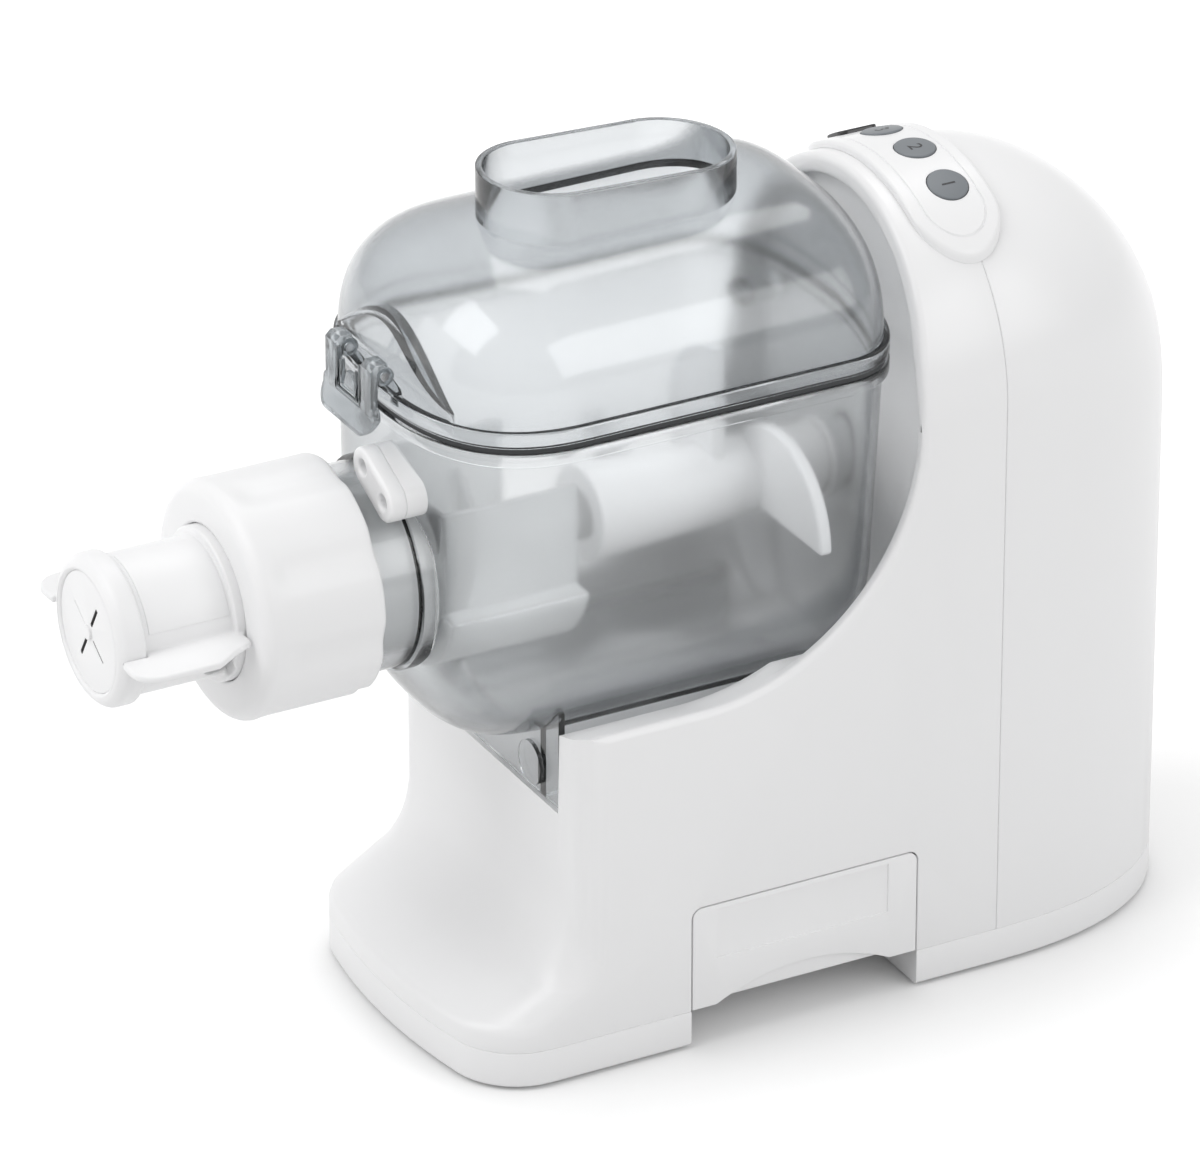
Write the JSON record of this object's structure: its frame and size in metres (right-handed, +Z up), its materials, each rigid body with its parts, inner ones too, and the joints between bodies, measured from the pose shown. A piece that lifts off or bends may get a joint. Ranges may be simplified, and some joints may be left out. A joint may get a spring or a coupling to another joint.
{
  "type": "electric pasta maker",
  "caption": "Free-standing electric pasta maker: tall motor tower, clear lidded mixing bowl, front die held by a locking ring, push buttons and a side drawer.",
  "frame": {"origin": "on the standing surface, under the middle of the overall length and width", "axes": "+Z up, -Y towards the front (the die), +Y towards the back of the tower, +X towards the side with the drawer"},
  "size_m": [0.136, 0.405, 0.3107],
  "materials": {
    "white_gloss": "satin gloss white",
    "white_satin": "fine satin white",
    "smoke_clear": "clear smoke grey",
    "milky_clear": "milky translucent",
    "inner_plastic": "plain moulded",
    "button_grey": "satin grey",
    "display_black": "gloss black window",
    "soft_rubber": "matt",
    "board_green": "solder mask",
    "dark_parts": "moulded black",
    "zinc_steel": "zinc plated",
    "bright_steel": "ground",
    "bronze_bearing": "sintered",
    "copper_winding": "varnished"
  },
  "bodies": {
    "housing": {"front_housing": "white_gloss", "rear_cover": "white_gloss", "base_tray": "white_gloss", "rubber_feet": "soft_rubber", "base_screws": "zinc_steel", "control_pod": "white_gloss", "display_window": "display_black", "switch_carrier": "inner_plastic", "push_switches": "dark_parts", "control_board": "board_green", "power_board": "board_green", "cord_gland": "inner_plastic", "gear_plate_front": "zinc_steel", "gear_plate_rear": "zinc_steel", "drive_bearings": "bronze_bearing", "idler_axle": "bright_steel", "motor_case": "zinc_steel", "motor_screws": "zinc_steel", "plate_screws": "zinc_steel", "interlock_switch": "dark_parts", "shaft_seal": "soft_rubber", "drawer_runners": "inner_plastic"},
    "output_drive": {"drive_shaft": "bright_steel", "drive_gear": "inner_plastic"},
    "idler": {"idler_gear": "inner_plastic"},
    "motor": {"motor_shaft": "bright_steel", "motor_rotor": "copper_winding", "motor_pinion": "bronze_bearing", "cooling_fan": "dark_parts"},
    "lid_sensor": {"interlock_pin": "dark_parts"},
    "bowl": {"mixing_bowl": "smoke_clear", "outlet_collar": "smoke_clear", "extrusion_barrel": "milky_clear", "bowl_bush": "white_satin", "ring_stop": "white_satin", "stop_screws": "zinc_steel"},
    "auger": {"mixing_shaft": "white_satin", "extrusion_screw": "milky_clear"},
    "die": {"die_holder": "white_satin", "die_disc": "white_satin", "die_cap": "white_satin", "die_seal": "soft_rubber"},
    "ring": {"locking_ring": "white_satin"},
    "lid_body": {"lid": "smoke_clear", "lid_gasket": "soft_rubber", "latch_pin": "bright_steel"},
    "latch": {"latch_clip": "smoke_clear"},
    "drawer": {"drawer_front": "white_gloss", "drawer_tray": "white_satin"},
    "first_button": {"button_1": "button_grey"},
    "second_button": {"button_2": "button_grey"},
    "third_button": {"button_3": "button_grey"}
  },
  "joints": [
    {"name": "bowl_slide", "type": "slide", "parent": "housing", "child": "bowl", "axis": [0, -1, 0], "range_m": [0, 0.12]},
    {"name": "auger_spin", "type": "hinge", "parent": "bowl", "child": "auger", "pos_m": [0, 0, 0.1777], "axis": [0, 1, 0], "continuous": true},
    {"name": "drive_spin", "type": "hinge", "parent": "housing", "child": "output_drive", "pos_m": [0, 0.1, 0.1777], "axis": [0, 1, 0], "continuous": true},
    {"name": "idler_spin", "type": "hinge", "parent": "housing", "child": "idler", "pos_m": [0, 0.1, 0.13145], "axis": [0, 1, 0], "continuous": true},
    {"name": "motor_spin", "type": "hinge", "parent": "housing", "child": "motor", "pos_m": [0, 0.1, 0.10145], "axis": [0, 1, 0], "continuous": true},
    {"name": "interlock_press", "type": "slide", "parent": "housing", "child": "lid_sensor", "axis": [0, 1, 0], "range_m": [0, 0.002], "stiffness_N_per_m": 150},
    {"name": "die_pull", "type": "slide", "parent": "bowl", "child": "die", "axis": [0, -1, 0], "range_m": [0, 0.06]},
    {"name": "ring_turn", "type": "hinge", "parent": "die", "child": "ring", "pos_m": [0, -0.13, 0.1777], "axis": [0, 1, 0], "range_deg": [0, 45]},
    {"name": "lid_lift", "type": "slide", "parent": "bowl", "child": "lid_body", "axis": [0, 0, 1], "range_m": [0, 0.1]},
    {"name": "latch_swing", "type": "hinge", "parent": "lid_body", "child": "latch", "pos_m": [0, -0.0987, 0.2548], "axis": [1, 0, 0], "range_deg": [-40, 0]},
    {"name": "drawer_slide", "type": "slide", "parent": "housing", "child": "drawer", "axis": [1, 0, 0], "range_m": [0, 0.085]},
    {"name": "button_1_press", "type": "slide", "parent": "housing", "child": "first_button", "axis": [-0.3584, 0, -0.9336], "range_m": [0, 0.0012], "stiffness_N_per_m": 400},
    {"name": "button_2_press", "type": "slide", "parent": "housing", "child": "second_button", "axis": [-0.0436, 0, -0.999], "range_m": [0, 0.0012], "stiffness_N_per_m": 400},
    {"name": "button_3_press", "type": "slide", "parent": "housing", "child": "third_button", "axis": [0.2756, 0, -0.9613], "range_m": [0, 0.0012], "stiffness_N_per_m": 400}
  ],
  "couplings": [
    {"joint": "drive_spin", "follows": "auger_spin", "ratio": 1},
    {"joint": "idler_spin", "follows": "auger_spin", "ratio": -4.2857},
    {"joint": "motor_spin", "follows": "auger_spin", "ratio": 17.143}
  ]
}
